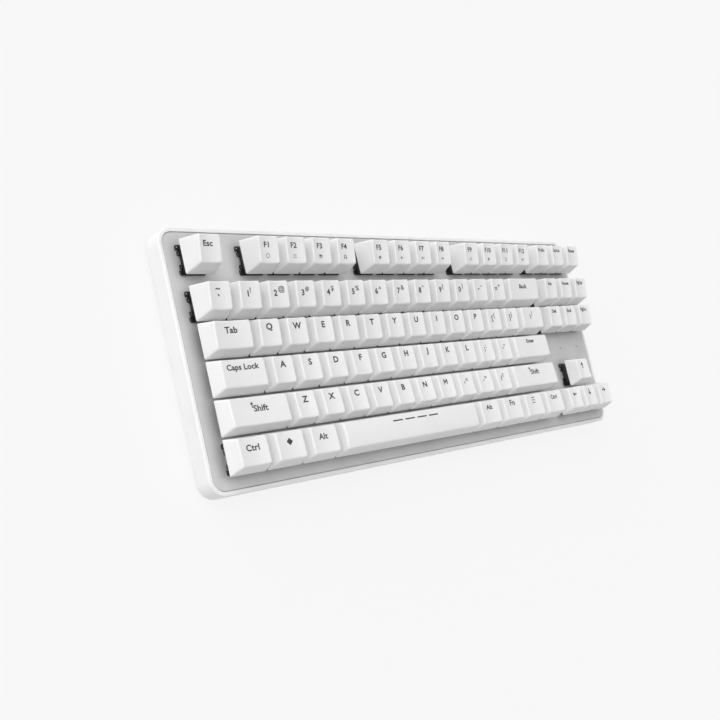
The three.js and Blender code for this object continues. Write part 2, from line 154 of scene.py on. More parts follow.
def surroundings():
    world = bpy.data.worlds.new("studio")
    bpy.context.scene.world = world
    world.use_nodes = True
    tree = world.node_tree
    glow = tree.nodes["Background"]
    glow.inputs["Color"].default_value = (1, 1, 1, 1)
    glow.inputs["Strength"].default_value = WORLD_GLOW
    # The pale backdrop beyond the floor's edge is seen, but adds no light of its own.
    backdrop = tree.nodes.new("ShaderNodeBackground")
    backdrop.inputs["Color"].default_value = (1, 1, 1, 1)
    backdrop.inputs["Strength"].default_value = BACKDROP_GLOW
    rays = tree.nodes.new("ShaderNodeLightPath")
    choice = tree.nodes.new("ShaderNodeMixShader")
    tree.links.new(rays.outputs["Is Camera Ray"], choice.inputs["Fac"])
    tree.links.new(glow.outputs["Background"], choice.inputs[1])
    tree.links.new(backdrop.outputs["Background"], choice.inputs[2])
    tree.links.new(choice.outputs["Shader"], tree.nodes["World Output"].inputs["Surface"])
    for name, towards, strength in SUNS:
        sun(name, towards, strength)

    paper = bpy.data.materials.new("paper")
    paper.use_nodes = True
    shader = paper.node_tree.nodes["Principled BSDF"]
    shader.inputs["Base Color"].default_value = (PAPER_GREY, PAPER_GREY, PAPER_GREY, 1)
    shader.inputs["Roughness"].default_value = 1
    shader.inputs["Specular IOR Level"].default_value = 0
    shader.inputs["Emission Color"].default_value = (1, 1, 1, 1)
    shader.inputs["Emission Strength"].default_value = PAPER_GLOW
    mesh = bpy.data.meshes.new("floor")
    corners = [(x * FLOOR_REACH, y * FLOOR_REACH, 0) for x, y in ((-1, -1), (1, -1), (1, 1), (-1, 1))]
    mesh.from_pydata(corners, [], [(0, 1, 2, 3)])
    mesh.materials.append(paper)
    floor = bpy.data.objects.new("floor", mesh)
    bpy.context.scene.collection.objects.link(floor)
    bpy.context.scene.view_settings.view_transform = "Standard"
    bpy.context.scene.view_settings.look = "None"


camera()
surroundings()

# ---- Materials ----------------------------------------------------------------------------------------

ROUGHNESS_SPREAD = 0.06


def finish_material(name, dark, light, roughness, grain, bump, metallic=0.0, patch=60.0):
    """A procedural surface: slow colour drift, uneven roughness and a fine grain.

    dark and light are linear colours; grain is the grain's size and bump its depth, in millimetres;
    patch is the scale of the colour drift, in patches to the metre.
    """
    made = bpy.data.materials.new(name)
    made.use_nodes = True
    tree = made.node_tree
    shader = tree.nodes["Principled BSDF"]
    shader.inputs["Metallic"].default_value = metallic

    place = tree.nodes.new("ShaderNodeTexCoord")
    drift = tree.nodes.new("ShaderNodeTexNoise")
    drift.inputs["Scale"].default_value = patch
    drift.inputs["Detail"].default_value = 3
    tree.links.new(place.outputs["Object"], drift.inputs["Vector"])
    ramp = tree.nodes.new("ShaderNodeValToRGB")
    ramp.color_ramp.elements[0].position = 0.3
    ramp.color_ramp.elements[0].color = (*dark, 1)
    ramp.color_ramp.elements[1].position = 0.7
    ramp.color_ramp.elements[1].color = (*light, 1)
    tree.links.new(drift.outputs["Fac"], ramp.inputs["Fac"])
    tree.links.new(ramp.outputs["Color"], shader.inputs["Base Color"])

    fine = tree.nodes.new("ShaderNodeTexNoise")
    fine.inputs["Scale"].default_value = 1 / (grain * MM)
    fine.inputs["Detail"].default_value = 2
    tree.links.new(place.outputs["Object"], fine.inputs["Vector"])
    spread = tree.nodes.new("ShaderNodeMapRange")
    spread.inputs["From Min"].default_value = 0.3
    spread.inputs["From Max"].default_value = 0.7
    spread.inputs["To Min"].default_value = roughness - ROUGHNESS_SPREAD
    spread.inputs["To Max"].default_value = roughness + ROUGHNESS_SPREAD
    tree.links.new(fine.outputs["Fac"], spread.inputs["Value"])
    tree.links.new(spread.outputs["Result"], shader.inputs["Roughness"])
    relief = tree.nodes.new("ShaderNodeBump")
    relief.inputs["Strength"].default_value = 0.6
    relief.inputs["Distance"].default_value = bump * MM
    tree.links.new(fine.outputs["Fac"], relief.inputs["Height"])
    tree.links.new(relief.outputs["Normal"], shader.inputs["Normal"])
    return made


def grey(value, warm=0.0):
    """A linear grey, a little towards orange if warm."""
    return (value + warm, value, value - warm)


CAP = finish_material("cap_pbt", grey(0.80, 0.002), grey(0.83, 0.002), 0.5, 0.35, 0.012)
INK = finish_material("legend_ink", grey(0.045), grey(0.06), 0.6, 0.2, 0.004)
PALE_INK = finish_material("legend_ink_pale", grey(0.16), grey(0.2), 0.6, 0.2, 0.004)
CASE = finish_material("case_abs", grey(0.82, 0.002), grey(0.85, 0.002), 0.36, 0.6, 0.008)
PLATE = finish_material("plate_aluminium", grey(0.60, 0.002), grey(0.65, 0.002), 0.55, 0.15, 0.01, 0.2)
HOUSING = finish_material("housing_nylon", grey(0.014), grey(0.026), 0.38, 0.3, 0.01)
CLEAR_PLASTIC = finish_material("window_plastic", grey(0.40), grey(0.5), 0.25, 0.5, 0.004)
STEM = finish_material("stem_pom", grey(0.05), grey(0.065), 0.4, 0.4, 0.004)
STEEL = finish_material("steel_plated", grey(0.58), grey(0.66), 0.3, 0.25, 0.004, 1.0, 200)
RUBBER = finish_material("rubber_grey", grey(0.26), grey(0.32), 0.85, 0.4, 0.03)
BOARD_GREENS = (0.018, 0.09, 0.05), (0.03, 0.13, 0.075)
BOARD = finish_material("board_mask", *BOARD_GREENS, 0.35, 1.5, 0.02, 0.0, 400)

# ---- Mesh building ------------------------------------------------------------------------------------


def skin(rings, closed=False):
    """Faces between each ring of points and the next, and from the last to the first if closed."""
    count = len(rings[0])
    faces = []
    for k in range(len(rings) - (0 if closed else 1)):
        low = k * count
        high = (k + 1) % len(rings) * count
        for i in range(count):
            j = (i + 1) % count
            faces.append([low + i, low + j, high + j, high + i])
    return faces


class Solid:
    """Points in millimetres, faces, and each face's material number."""

    def __init__(self):
        self.points = []
        self.faces = []
        self.paints = []

    def add(self, points, faces, paint=0):
        start = len(self.points)
        self.points += [tuple(p) for p in points]
        self.faces += [[start + i for i in face] for face in faces]
        self.paints += [paint] * len(faces)

    def loft(self, rings, paint=0, closed=False):
        """Skin over rings of equal length; the ends are filled, or joined to each other if closed."""
        count = len(rings[0])
        faces = skin(rings, closed)
        if not closed:
            faces.append(list(range(count))[::-1])
            faces.append([(len(rings) - 1) * count + i for i in range(count)])
        self.add([p for ring in rings for p in ring], faces, paint)

    def mesh(self, name):
        made = bpy.data.meshes.new(name)
        made.from_pydata([[c * MM for c in p] for p in self.points], [], self.faces)
        return made


MERGE = 0.002  # points closer than this become one
SHARP = 34  # degrees between two faces beyond which their edge is drawn sharp


def make(name, solid, materials, body, nodes=(), angle=SHARP):
    """The Blender piece made from a Solid, riding on a CAD body and shown in place of CAD nodes."""
    mesh = solid.mesh(name)
    mesh.polygons.foreach_set("material_index", solid.paints)
    bm = bmesh.new()
    bm.from_mesh(mesh)
    bmesh.ops.remove_doubles(bm, verts=bm.verts, dist=MERGE * MM)
    bmesh.ops.dissolve_degenerate(bm, edges=bm.edges, dist=MERGE / 2 * MM)
    bmesh.ops.recalc_face_normals(bm, faces=bm.faces)
    for face in bm.faces:
        face.smooth = True
    bm.to_mesh(mesh)
    bm.free()
    mesh.set_sharp_from_angle(angle=math.radians(angle))
    for material in materials:
        mesh.materials.append(material)
    piece = bpy.data.objects.new(name, mesh)
    bpy.context.scene.collection.objects.link(piece)
    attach(piece, body)
    if nodes:
        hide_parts(*nodes)
    return piece


def outline(x0, x1, y0, y1, radius, steps=4, across=0, deep=0):
    """Points of a rounded rectangle, from its front left, with extra points along its edges."""
    corners = [
        (x1 - radius, y0 + radius, -90),
        (x1 - radius, y1 - radius, 0),
        (x0 + radius, y1 - radius, 90),
        (x0 + radius, y0 + radius, 180),
    ]
    arcs = []
    for x, y, start in corners:
        turns = [math.radians(start + 90 * s / steps) for s in range(steps + 1)]
        arcs.append([(x + radius * math.cos(t), y + radius * math.sin(t)) for t in turns])
    points = []
    for k, arc in enumerate(arcs):
        a, b = arcs[k - 1][-1], arc[0]
        extra = deep if k % 2 else across
        for s in range(1, extra + 1):
            t = s / (extra + 1)
            points.append((a[0] + (b[0] - a[0]) * t, a[1] + (b[1] - a[1]) * t))
        points += arc
    return points


def at(points, z):
    return [(x, y, z) for x, y in points]


def block(solid, x0, x1, y0, y1, z0, z1, radius, edge, paint=0, steps=3):
    """An upright block with round corners and chamfered lower and upper edges."""
    rings = []
    for inset, z in ((edge, z0), (0, z0 + edge), (0, z1 - edge), (edge, z1)):
        corner = max(radius - inset, 0.02)
        ring = outline(x0 + inset, x1 - inset, y0 + inset, y1 - inset, corner, steps)
        rings.append(at(ring, z))
    solid.loft(rings, paint)


def circle(x, y, radius, sides):
    turns = [2 * math.pi * i / sides for i in range(sides)]
    return [(x + radius * math.cos(t), y + radius * math.sin(t)) for t in turns]


def lathe(solid, x, y, profile, sides):
    """A turned shape on an upright axis; profile is (radius, z) from its start to its end."""
    solid.loft([at(circle(x, y, r, sides), z) for r, z in profile])


def mix(a, b, t):
    return tuple(p + (q - p) * t for p, q in zip(a, b))


def curve(a, corner, b, t):
    """A point of the parabola from a to b that is tangent to the lines through the corner."""
    return mix(mix(a, corner, t), mix(corner, b, t), t)


def bounds_of(points):
    xs, ys = [p[0] for p in points], [p[1] for p in points]
    return min(xs), max(xs), min(ys), max(ys)


# ---- Legends ------------------------------------------------------------------------------------------

LETTER_STRETCH = 1.16  # the legends are a little wider than the built-in typeface
CAPITAL = 0.73  # height of a capital in that typeface at size 1
LETTER_SPACE = 1.03
HAIR = 0.006
flat_letters = {}


def without_folds(points, faces):
    """The triangles of a flat mesh, less those that turn over or lie on top of a larger one."""
    def area(face):
        (ax, ay), (bx, by), (cx, cy) = [points[i] for i in face]
        return ((bx - ax) * (cy - ay) - (cx - ax) * (by - ay)) / 2

    way = 1 if sum(area(f) for f in faces) > 0 else -1
    kept, used = [], set()
    for face in sorted(faces, key=lambda f: -way * area(f)):
        edges = {(face[i], face[(i + 1) % 3]) for i in range(3)}
        if way * area(face) > 0 and not edges & used:
            used |= edges
            kept.append(face)
    return kept


def without_pinches(points, faces):
    """The same mesh, with triangles that only touch at a corner drawn a hair apart there."""
    points = list(points)
    around = {}
    for face in faces:
        for corner in face:
            around.setdefault(corner, []).append(face)
    for corner, rest in around.items():
        first = True
        while rest:
            group, rest = rest[:1], rest[1:]
            near = group
            while near:
                others = {p for f in group for p in f} - {corner}
                near = [f for f in rest if others & set(f)]
                rest = [f for f in rest if not others & set(f)]
                group = group + near
            if not first:
                x = sum(points[p][0] for p in others) / len(others)
                y = sum(points[p][1] for p in others) / len(others)
                far = math.hypot(x - points[corner][0], y - points[corner][1])
                for face in group:
                    face[face.index(corner)] = len(points)
                points.append(mix(points[corner], (x, y), HAIR / far))
            first = False
    return points, faces


def lettering(words, height, weight):
    """Flat outline mesh of some words, centred on the origin: points and triangles."""
    key = (words, height, weight)
    if key in flat_letters:
        return flat_letters[key]
    data = bpy.data.curves.new("lettering", "FONT")
    data.body = words
    data.size = height / CAPITAL
    data.offset = weight
    data.resolution_u = 3
    data.space_character = LETTER_SPACE
    holder = bpy.data.objects.new("lettering", data)
    bpy.context.scene.collection.objects.link(holder)
    depsgraph = bpy.context.evaluated_depsgraph_get()
    mesh = bpy.data.meshes.new_from_object(holder.evaluated_get(depsgraph))
    bm = bmesh.new()
    bm.from_mesh(mesh)
    bmesh.ops.remove_doubles(bm, verts=bm.verts, dist=2 * MERGE)
    bmesh.ops.triangulate(bm, faces=bm.faces)
    points = [(v.co.x, v.co.y) for v in bm.verts]
    faces = [[v.index for v in f.verts] for f in bm.faces]
    bm.free()
    bpy.data.objects.remove(holder)
    bpy.data.curves.remove(data)
    bpy.data.meshes.remove(mesh)
    x0, x1, y0, y1 = bounds_of(points)
    mid = ((x0 + x1) / 2, (y0 + y1) / 2)
    points = [((x - mid[0]) * LETTER_STRETCH, y - mid[1]) for x, y in points]
    flat_letters[key] = without_pinches(points, without_folds(points, faces))
    return flat_letters[key]


def poly(*points):
    return list(points), [list(range(len(points)))]


def strip(x0, x1, y0, y1):
    return poly((x0, y0), (x1, y0), (x1, y1), (x0, y1))


def hoop(radius, width, sides=16):
    inner = circle(0, 0, radius - width, sides)
    outer = circle(0, 0, radius, sides)
    faces = []
    for i in range(sides):
        j = (i + 1) % sides
        faces.append([i, j, sides + j, sides + i])
    return inner + outer, faces


ICONS = {
    "up": [strip(-0.28, 0.28, -1.5, 0.3), poly((-1.05, 0.2), (1.05, 0.2), (0, 1.5))],
    "ring": [hoop(0.85, 0.24)],
    "bars": [strip(-0.8, 0.8, 0.25, 0.5), strip(-0.8, 0.8, -0.5, -0.25)],
    "tile": [strip(-0.8, 0.8, 0.45, 0.7), strip(-0.8, -0.2, -0.7, 0.2), strip(0.2, 0.8, -0.7, 0.2)],
    "block": [strip(-0.75, 0.75, -0.1, 0.7), strip(-0.75, 0.75, -0.6, -0.4)],
    "square": [strip(-0.55, 0.55, -0.55, 0.55)],
    "back": [poly((-0.9, 0), (0, -0.6), (0, 0.6)), strip(0.15, 0.9, -0.15, 0.15)],
    "play": [poly((-0.5, -0.6), (0.7, 0), (-0.5, 0.6)), strip(0.8, 1.0, -0.6, 0.6)],
    "next": [strip(-0.9, -0.1, -0.15, 0.15), poly((0, -0.6), (0.9, 0), (0, 0.6))],
    "diamond": [poly((-2.1, 0), (0, -1.9), (2.1, 0), (0, 1.9))],
    "dash": [strip(-4.0, 4.0, -0.38, 0.38)],
    "menu": [strip(-1.2, 1.2, y - 0.2, y + 0.2) for y in (-1.1, 0.0, 1.1)],
    # The typeface's M closes up when it is made heavier, so it has an outline of its own.
    "m": [poly(
        (-1.7, -1.68), (-1.0, -1.68), (-1.0, 0.35), (0, -1.0), (1.0, 0.35), (1.0, -1.68), (1.7, -1.68),
        (1.7, 1.68), (1.05, 1.68), (0, 0.2), (-1.05, 1.68), (-1.7, 1.68))],
}


def turned(shape, degrees, scale=1.0):
    """Icon outlines turned about the origin and scaled."""
    c = math.cos(math.radians(degrees)) * scale
    s = math.sin(math.radians(degrees)) * scale
    return [([(x * c - y * s, x * s + y * c) for x, y in points], faces) for points, faces in shape]


INK_PROUD = 0.03  # how far the ink stands above the keycap's surface, and reaches below it
INK_DEEP = 0.14


def stamp(solid, flat, x, y, surface, paint):
    """A thin closed body of ink that follows the keycap's surface."""
    points, faces = flat
    top = [(x + a, y + b, surface(x + a, y + b) + INK_PROUD) for a, b in points]
    low = [(px, py, pz - INK_PROUD - INK_DEEP) for px, py, pz in top]
    count = len(points)
    signed = 0.0
    for face in faces:
        for i, k in enumerate(face):
            a, b = points[k], points[face[(i + 1) % len(face)]]
            signed += a[0] * b[1] - b[0] * a[1]
    tops = faces if signed > 0 else [f[::-1] for f in faces]
    edges = {(f[i], f[(i + 1) % len(f)]) for f in tops for i in range(len(f))}
    rim = sorted((a, b) for a, b in edges if (b, a) not in edges)
    walls = [[a, count + a, count + b, b] for a, b in rim]
    lows = [[count + k for k in face[::-1]] for face in tops]
    solid.add(top + low, tops + lows + walls, paint)


# ---- Keycaps ------------------------------------------------------------------------------------------

# A legend is its kind, its text or icon, the height and weight of the text or the turn in degrees and
# scale of the icon, its place from the middle of the cell's front edge, and its ink: 1 dark, 2 pale.
LETTER = 3.3  # heights of capitals
DIGIT = 3.1
SIGN = 2.7
FUNCTION = 2.9
LETTER_Y = 12.9


def letter(mark):
    if mark == "M":
        return [("icon", "m", 0, 1.0, 0.0, LETTER_Y, 1)]
    return [("text", mark, LETTER, 0.15, 0.0, LETTER_Y, 1)]


def word(text, x, y, size):
    return [("text", text, size, 0.12, x, y, 1)]


def pair(mark, sign):
    """A mark that ends left of the middle, and a smaller, paler sign that starts at it."""
    return [("ends", mark, DIGIT, 0.14, -0.8, 10.9, 1), ("starts", sign, SIGN, 0.1, 0.0, 12.6, 2)]


def function(number, icon):
    return [
        ("text", "F%d" % number, FUNCTION, 0.11, -1.2, 12.7, 1),
        ("icon", icon, 0, 1.5, -1.0, 7.0, 2),
    ]


def arrow(degrees):
    return [("icon", "up", degrees, 1.45, 0.0, 12.7, 1)]


def letters(row, x, names):
    """Entries of KEYS for a run of one-unit letters, each on a body of its own."""
    return [("key_" + n, row, x + i, [(1, n, letter(n.upper()))]) for i, n in enumerate(names)]


def stacked(top, low):
    return [("text", top, 3.0, 0.14, -1.0, 13.4, 1), ("text", low, 3.4, 0.16, -1.0, 10.3, 1)]


def shift_mark(y):
    return [("icon", "up", 0, 1.05, -4.6, y + 1.9, 1)] + word("Shift", 0.6, y, 3.2)


SPACE_MARK = [("icon", "dash", 0, 1.0, x, 13.9, 1) for x in (-14.5, -4.2, 6.1, 16.4)]

# CAD body, row, x in units, and the keycaps from left to right: width in units, name, legends.
KEYS = [
    ("key_escape", "function", 0, [(1, "escape", word("Esc", -1.0, 12.6, 2.9))]),
    ("keys_f1_f4", "function", 2, [
        (1, "f1", function(1, "ring")), (1, "f2", function(2, "bars")),
        (1, "f3", function(3, "block")), (1, "f4", function(4, "tile"))]),
    ("keys_f5_f8", "function", 6.5, [
        (1, "f5", function(5, "square")), (1, "f6", function(6, "back")),
        (1, "f7", function(7, "play")), (1, "f8", function(8, "next"))]),
    ("keys_f9_f12", "function", 11, [
        (1, "f9", function(9, "bars")), (1, "f10", function(10, "square")),
        (1, "f11", function(11, "ring")), (1, "f12", function(12, "play"))]),
    ("keys_print_pause", "function", 15.25, [
        (1, "print", word("PrtSc", -0.6, 13.7, 2.2)), (1, "scroll", word("ScrLk", -0.6, 13.7, 2.2)),
        (1, "pause", word("Pause", -0.6, 13.7, 2.2))]),
    ("keys_grave_5", "digit", 0, [
        (1, "grave", stacked("~", "`")), (1, "one", pair("1", "!")), (1, "two", pair("2", "@")),
        (1, "three", pair("3", "#")), (1, "four", pair("4", "$")), (1, "five", pair("5", "%"))]),
    ("keys_6_equals", "digit", 6, [
        (1, "six", pair("6", "^")), (1, "seven", pair("7", "&")), (1, "eight", pair("8", "*")),
        (1, "nine", pair("9", "(")), (1, "zero", pair("0", ")")), (1, "minus", pair("-", "_")),
        (1, "equals", pair("=", "+"))]),
    ("key_backspace", "digit", 13, [(2, "backspace", word("Back", -0.2, 12.0, 2.7))]),
    ("keys_navigation", "digit", 15.25, [
        (1, "insert", word("Ins", -0.6, 13.6, 2.3)), (1, "home", word("Home", -0.6, 13.6, 2.2)),
        (1, "page_up", word("PgUp", -0.6, 13.6, 2.2))]),
    ("keys_navigation", "tab", 15.25, [
        (1, "delete", word("Del", -0.6, 13.6, 2.3)), (1, "end", word("End", -0.6, 13.6, 2.3)),
        (1, "page_down", word("PgDn", -0.6, 13.6, 2.2))]),
    ("key_tab", "tab", 0, [(1.5, "tab", word("Tab", -1.2, 12.4, 3.2))]),
    *letters("tab", 1.5, "qwertyuiop"),
    ("keys_brackets", "tab", 11.5, [
        (1, "bracket_open", pair("[", "{")), (1, "bracket_close", pair("]", "}")),
        (1.5, "backslash", pair("\\", "|"))]),
    ("key_caps_lock", "home", 0, [(1.75, "caps_lock", word("Caps Lock", -0.2, 12.8, 2.9))]),
    *letters("home", 1.75, "asdfghjkl"),
    ("keys_semicolon_quote", "home", 10.75, [
        (1, "semicolon", pair(";", ":")), (1, "quote", pair("'", "\""))]),
    ("key_enter", "home", 12.75, [(2.25, "enter", word("Enter", -0.3, 13.9, 2.4))]),
    ("key_shift_left", "shift", 0, [(2.25, "shift_left", shift_mark(11.4))]),
    *letters("shift", 2.25, "zxcvbnm"),
    ("keys_comma_slash", "shift", 9.25, [
        (1, "comma", pair(",", "<")), (1, "period", pair(".", ">")), (1, "slash", pair("/", "?"))]),
    ("key_shift_right", "shift", 12.25, [(2.75, "shift_right", shift_mark(12.4))]),
    ("keys_modifiers_left", "bottom", 0, [
        (1.25, "control_left", word("Ctrl", -0.5, 12.0, 3.2)),
        (1.25, "system_left", [("icon", "diamond", 0, 1.0, -0.2, 12.0, 1)]),
        (1.25, "alt_left", word("Alt", -0.8, 11.9, 3.1))]),
    ("key_space", "bottom", SPACE_LEFT, [(SPACE_UNITS, "space", SPACE_MARK)]),
    ("keys_modifiers_right", "bottom", 10, [
        (1.25, "alt_right", word("Alt", -0.5, 13.2, 2.9)),
        (1.25, "function", word("Fn", 0.3, 13.7, 3.6)),
        (1.25, "menu", [("icon", "menu", 0, 1.5, 0.0, 13.2, 2)]),
        (1.25, "control_right", word("Ctrl", 0.0, 13.2, 2.8))]),
    ("keys_arrows", "shift", 16.25, [(1, "arrow_up", arrow(0))]),
    ("keys_arrows", "bottom", 15.25, [
        (1, "arrow_left", arrow(90)), (1, "arrow_down", arrow(180)),
        (1, "arrow_right", arrow(-90))]),
]

SKIRT_CORNER = 0.7
TOP_CORNER = 1.15
LIP_CORNER = 0.5  # inside corners of the skirt and of the roof
ROOF_CORNER = 0.6
SKIRT_EDGE = 0.18  # rounding of the skirt's lower edge outside, in millimetres
LIP_EDGE = 0.14  # and inside, as a part of the wall's thickness
CORNER_STEPS = 5
FILLET = 0.75  # distance from the sharp edge to where the rounding starts
SUPPORT = 0.16  # distance from a rounding to the ring that keeps the flat beyond it flat
FILLET_STEPS = 4
TOP_RINGS = 7

POST_RADIUS = 2.7  # tube under the roof that takes the switch's cross
POST_BORE = 1.45
POST_RISE = 0.3  # from the skirt's edge to the tube's foot

BAR_HALF = 2.0  # homing bar of F and J
BAR_RADIUS = 0.28
BAR_Y = 5.6


def plane_of(row, y0, y1):
    """Height of a keycap's flat top before it is hollowed, from the top's front and back edges."""
    _, front, back = ROWS[row]
    return lambda y: SKIRT_LOW + front + (back - front) * (y - y0) / (y1 - y0)


def surface_of(plane, x0, x1, y0, y1, width):
    """Height of a keycap's top at a point; x0 to y1 is the top's rectangle."""
    def height(x, y):
        if width == SPACE_UNITS:
            s = min(max(2 * (y - y0) / (y1 - y0) - 1, -1), 1)
            return plane(y) + CROWN * (1 - s * s)
        s = min(max((2 * x - x0 - x1) / (x1 - x0), -1), 1)
        return plane(y) - DISH * (1 - s * s)

    return height


def keycap(solid, row, left, width, name, marks):
    """One hollow keycap with its stems and legends, in the cell that starts at x = left."""
    first, front, back = ROWS[row]
    right = left + width * U
    low = FIELD_FRONT + first * U
    high = low + U
    x0, x1, y0, y1 = left + TOP_SIDE, right - TOP_SIDE, low + TOP_FRONT, high - TOP_BACK
    plane = plane_of(row, y0, y1)
    height = surface_of(plane, x0, x1, y0, y1, width)
    space_bar = width == SPACE_UNITS
    across = 24 if space_bar else 16 if width > 1.5 else 8
    deep = 8 if space_bar else 5
    counts = (CORNER_STEPS, across, deep)
    reach = min(x1 - x0, y1 - y0) / 2

    def cell_ring(gap, corner):
        flat = outline(left + gap, right - gap, low + gap, high - gap, corner, *counts)
        return at(flat, SKIRT_LOW)

    def flat_ring(inset, corner):
        return outline(x0 + inset, x1 - inset, y0 + inset, y1 - inset, corner, *counts)

    def top_ring(inset):
        flat = flat_ring(inset, TOP_CORNER * (1 - inset / reach))
        return [(x, y, height(x, y)) for x, y in flat]

    def roof_ring(inset, corner):
        return [(x, y, plane(y) - CAP_ROOF) for x, y in flat_ring(inset, corner)]

    skirt = cell_ring(CELL_GAP, SKIRT_CORNER)
    lip = cell_ring(CELL_GAP + CAP_WALL, LIP_CORNER)
    edge = top_ring(0)
    start, support = [], []
    for foot, top in zip(skirt, edge):
        length = (Vector(foot) - Vector(top)).length
        start.append(mix(top, foot, FILLET / length))
        support.append(mix(top, foot, (FILLET + SUPPORT) / length))
    end = top_ring(FILLET)
    arcs = []
    for k in range(1, FILLET_STEPS):
        arcs.append([curve(a, c, b, k / FILLET_STEPS) for a, c, b in zip(start, edge, end)])
    soft_foot = [mix(a, b, SKIRT_EDGE / (Vector(a) - Vector(b)).length) for a, b in zip(skirt, edge)]
    soft_lip = [mix(a, b, LIP_EDGE) for a, b in zip(skirt, lip)]
    rings = [roof_ring(reach, 0.0), roof_ring(CAP_WALL, ROOF_CORNER), lip, soft_lip, soft_foot]
    rings += [support, start, *arcs, end]
    flat_part = reach - FILLET - SUPPORT
    rings += [top_ring(FILLET + SUPPORT + flat_part * k / TOP_RINGS) for k in range(TOP_RINGS)]
    rings.append(top_ring(reach))
    solid.add([p for r in rings for p in r], skin(rings))

    x, y = (left + right) / 2, (low + high) / 2
    outer = SPACE_STABILISER if space_bar else SHORT_STABILISER
    foot = SKIRT_LOW + POST_RISE
    roof = SKIRT_LOW + (front + back) / 2 - CAP_ROOF + 0.3
    profile = [
        (POST_BORE, roof - 0.5), (POST_BORE, foot + 0.3), (POST_BORE + 0.25, foot),
        (POST_RADIUS - 0.25, foot), (POST_RADIUS, foot + 0.25), (POST_RADIUS, roof),
    ]
    for stem in [x] if width < STABILISED else [x - outer, x, x + outer]:
        lathe(solid, stem, y, profile, 24)

    for kind, what, size, weight, dx, dy, paint in marks:
        icon = kind == "icon"
        shapes = turned(ICONS[what], size, weight) if icon else [lettering(what, size, weight)]
        half = max(p[0] for p in shapes[0][0])
        dx += {"ends": -half, "starts": half}.get(kind, 0)
        for flat in shapes:
            stamp(solid, flat, x + dx, low + dy, height, paint)
    if name in ("f", "j"):
        bar = outline(-BAR_HALF, BAR_HALF, -BAR_RADIUS, BAR_RADIUS, BAR_RADIUS - 0.01, 3, 6)
        rings = []
        for inset, rise in ((0, -0.3), (0, 0.12), (0.12, 0.26)):
            narrow = (1 - inset / BAR_HALF, 1 - inset / BAR_RADIUS)
            flat = [(x + a * narrow[0], low + BAR_Y + b * narrow[1]) for a, b in bar]
            rings.append([(a, b, height(a, b) + rise) for a, b in flat])
        solid.loft(rings)


stem_places = {}
housing_rows = {}
for body, row, start, caps in KEYS:
    place = start
    for width, name, marks in caps:
        left = FIELD_LEFT + place * U
        solid = Solid()
        keycap(solid, row, left, width, name, marks)
        make("cap_" + name, solid, [CAP, INK, PALE_INK], body, [body], 30)
        centre = (left + width * U / 2, FIELD_FRONT + (ROWS[row][0] + 0.5) * U)
        stem_places.setdefault(body, []).append(centre)
        housing_rows.setdefault(row, []).append(centre)
        place += width

# ---- Switches -----------------------------------------------------------------------------------------

CUTOUT = 7.0  # half the square hole in the plate for one switch
BODY = CUTOUT - CLEAR  # half the width of a switch's lower half
HOUSING_TOP = PLATE_TOP + 6.6
WELL_DEPTH = 8.7  # leaves room for the stem at the bottom of its travel
WELL = (3.6, 3.1)  # half the size of the opening that the stem works in
FLANGE = 7.8  # half the flange's outer size
FLANGE_THICK = 0.95
FLANGE_EDGE = 0.15
FLANGE_BORE = 0.65  # the flange's hole, as a part of its outline
NOTCH_X = 6.0  # half the flange's width between its notches
NOTCH_Y = 5.3  # half the length of a notch
CATCH_PLACES = (-3.6, 3.3)  # the two catches on each side, from the middle

STEM_HALF = (3.2, 2.7)
STEM_LOW = PLATE_TOP + 2.4
STEM_SHOULDER = PLATE_TOP + 6.0
STEM_TOP = PLATE_TOP + 9.6
CROSS = ((2.05, 0.64), (0.55, 2.0))  # half sizes of the stem's two crossed blades


def box_ring(x, y, half_x, half_y, radius, z):
    return at(outline(x - half_x, x + half_x, y - half_y, y + half_y, radius, 2), z)


def notched(x, y, inset, z, scale=1.0):
    """The flange's outline: a square with a wide notch in its left and right sides."""
    half, deep, long = FLANGE - inset, NOTCH_X - inset, NOTCH_Y + inset
    corner, ease = 0.5, 0.4
    right = [(half - corner, -half), (half, -half + corner), (half, -long), (deep, -long + ease)]
    right += [(deep, long - ease), (half, long), (half, half - corner), (half - corner, half)]
    right = [(a * scale, b * scale) for a, b in right]
    return [(x + a, y + b, z) for a, b in right] + [(x - a, y - b, z) for a, b in right]


def slab(solid, x, y, half_x, half_y, z0, z1, paint=0):
    """A small block with barely softened edges, centred on a point."""
    block(solid, x - half_x, x + half_x, y - half_y, y + half_y, z0, z1, 0.1, 0.05, paint, 1)


